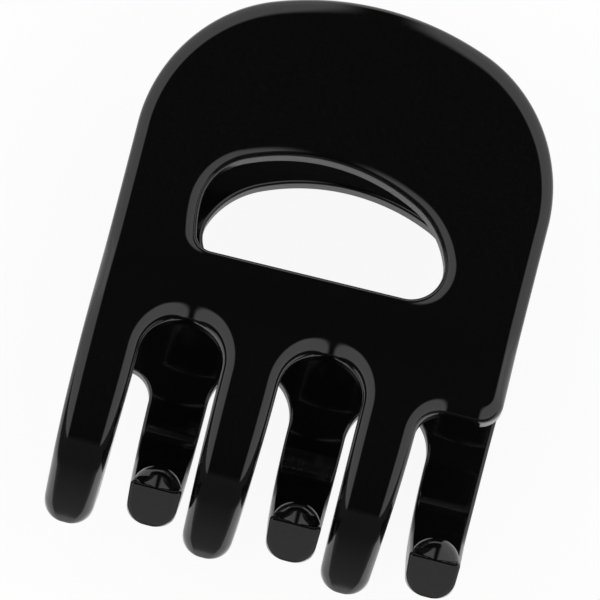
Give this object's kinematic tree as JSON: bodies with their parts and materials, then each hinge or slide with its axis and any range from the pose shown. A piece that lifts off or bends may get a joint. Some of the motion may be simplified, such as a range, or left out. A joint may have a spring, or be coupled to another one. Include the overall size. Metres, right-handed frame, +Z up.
{
  "type": "hair clip",
  "caption": "Claw hair clip: two curved plates with finger openings and rounded teeth that hook past each other, hinged and sprung behind the band.",
  "frame": {"origin": "under the middle of the clip, on the surface that its rear jaw lies on", "axes": "+Z up through the front jaw, +Y along the clip towards the grips, +X across it, along the hinge pin"},
  "size_m": [0.055, 0.072, 0.034],
  "materials": {
    "jaw_plastic": "polished",
    "leaf_steel": "zinc plated",
    "pin_steel": "turned",
    "spring_wire": "drawn wire"
  },
  "bodies": {
    "rear_half": {"rear_jaw": "jaw_plastic", "rear_hinge_leaf": "leaf_steel", "rear_rivet_left": "leaf_steel", "rear_rivet_right": "leaf_steel", "hinge_pin": "pin_steel", "pin_cap": "pin_steel", "torsion_spring": "spring_wire"},
    "front_half": {"front_jaw": "jaw_plastic", "front_hinge_leaf": "leaf_steel", "front_rivet_left": "leaf_steel", "front_rivet_right": "leaf_steel"}
  },
  "joints": [
    {"name": "jaw_opening", "type": "hinge", "parent": "rear_half", "child": "front_half", "pos_m": [0, -0.0032, 0.017], "axis": [-1, 0, 0], "range_deg": [0, 30], "stiffness_Nm_per_rad": 0.12, "springref_deg": -51.57, "deforming": ["torsion_spring"]}
  ]
}
